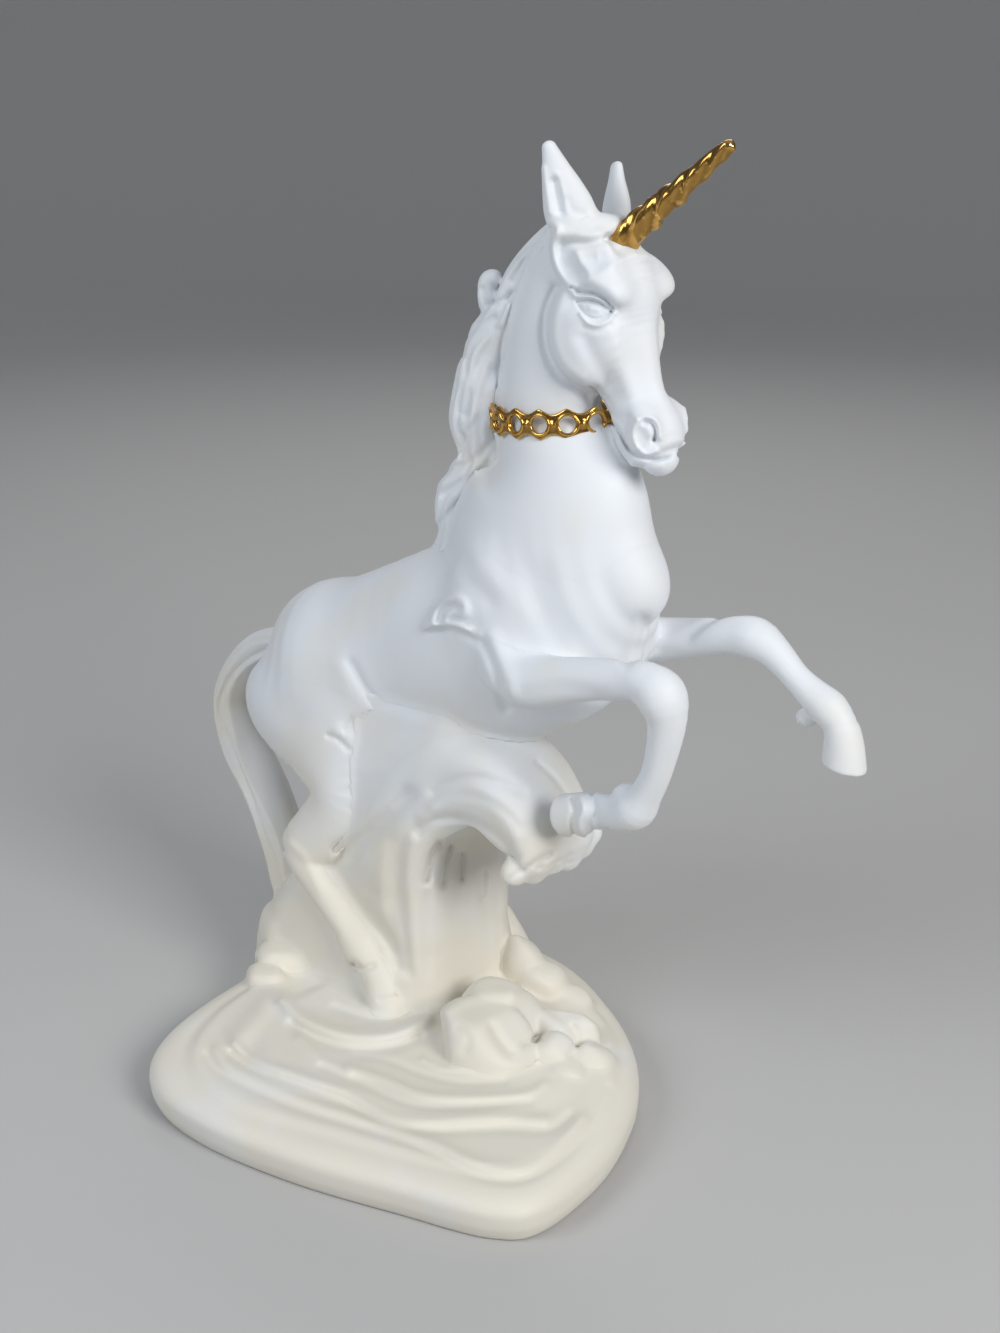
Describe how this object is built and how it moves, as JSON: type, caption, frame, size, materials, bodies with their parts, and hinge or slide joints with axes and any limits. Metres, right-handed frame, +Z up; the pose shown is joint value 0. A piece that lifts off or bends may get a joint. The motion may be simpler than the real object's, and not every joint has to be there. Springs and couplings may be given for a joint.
{
  "type": "unicorn figurine",
  "caption": "Rearing white bisque porcelain unicorn on a curling wave and rippled base, with a gilded spiral horn and a pierced gilded collar.",
  "frame": {"origin": "on the ground under the middle of the base", "axes": "+X the way the horse faces, +Y its left side, +Z up"},
  "size_m": [0.2647, 0.1559, 0.3054],
  "materials": {
    "bisque_porcelain": "matte",
    "gilded_metal": "polished",
    "brass_wire": "satin"
  },
  "bodies": {
    "root": {"base": "bisque_porcelain", "rocks_front": "bisque_porcelain", "rocks_side": "bisque_porcelain", "splash_rear": "bisque_porcelain", "wave_column": "bisque_porcelain", "wave_crest": "bisque_porcelain", "torso": "bisque_porcelain", "neck": "bisque_porcelain", "head": "bisque_porcelain", "ear_right": "bisque_porcelain", "ear_left": "bisque_porcelain", "forelock": "bisque_porcelain", "mane_upper": "bisque_porcelain", "mane_lower": "bisque_porcelain", "shoulder_tuft_right": "bisque_porcelain", "shoulder_tuft_left": "bisque_porcelain", "foreleg_right": "bisque_porcelain", "foreleg_left": "bisque_porcelain", "hindleg_right": "bisque_porcelain", "hindleg_left": "bisque_porcelain", "tail": "bisque_porcelain", "horn": "gilded_metal", "horn_peg": "brass_wire", "collar_band": "gilded_metal", "collar_bezels": "gilded_metal"}
  },
  "joints": []
}
